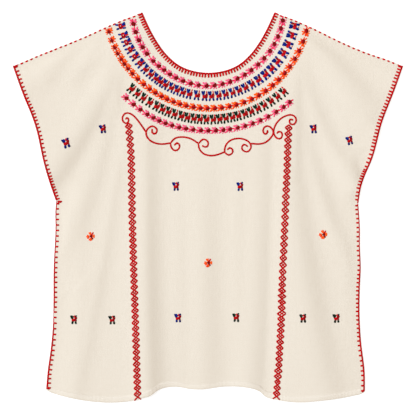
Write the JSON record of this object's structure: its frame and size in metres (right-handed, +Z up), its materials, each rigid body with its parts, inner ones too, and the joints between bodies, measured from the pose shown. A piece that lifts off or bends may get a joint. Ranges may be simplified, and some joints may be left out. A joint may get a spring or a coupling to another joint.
{
  "type": "huipil blouse",
  "caption": "Short-sleeved cotton huipil laid out flat, front up, with a wide scooped neck and two joining strips of red stitched diamonds.",
  "frame": {"origin": "centre of the bounding box at the underside, on the surface that the garment lies on", "axes": "+Y towards the neck, +X towards the right-hand sleeve as seen from above, +Z up through the cloth from back to front"},
  "size_m": [0.639, 0.6392, 0.0132],
  "materials": {
    "cotton": "matte",
    "red_thread": "satin",
    "blue_thread": "satin",
    "green_thread": "satin",
    "orange_thread": "satin",
    "pink_thread": "satin"
  },
  "bodies": {
    "root": {"front_left_web": "cotton", "front_centre_web": "cotton", "front_right_web": "cotton", "back_left_web": "cotton", "back_centre_web": "cotton", "back_right_web": "cotton", "left_randa": "red_thread", "right_randa": "red_thread"}
  },
  "joints": []
}
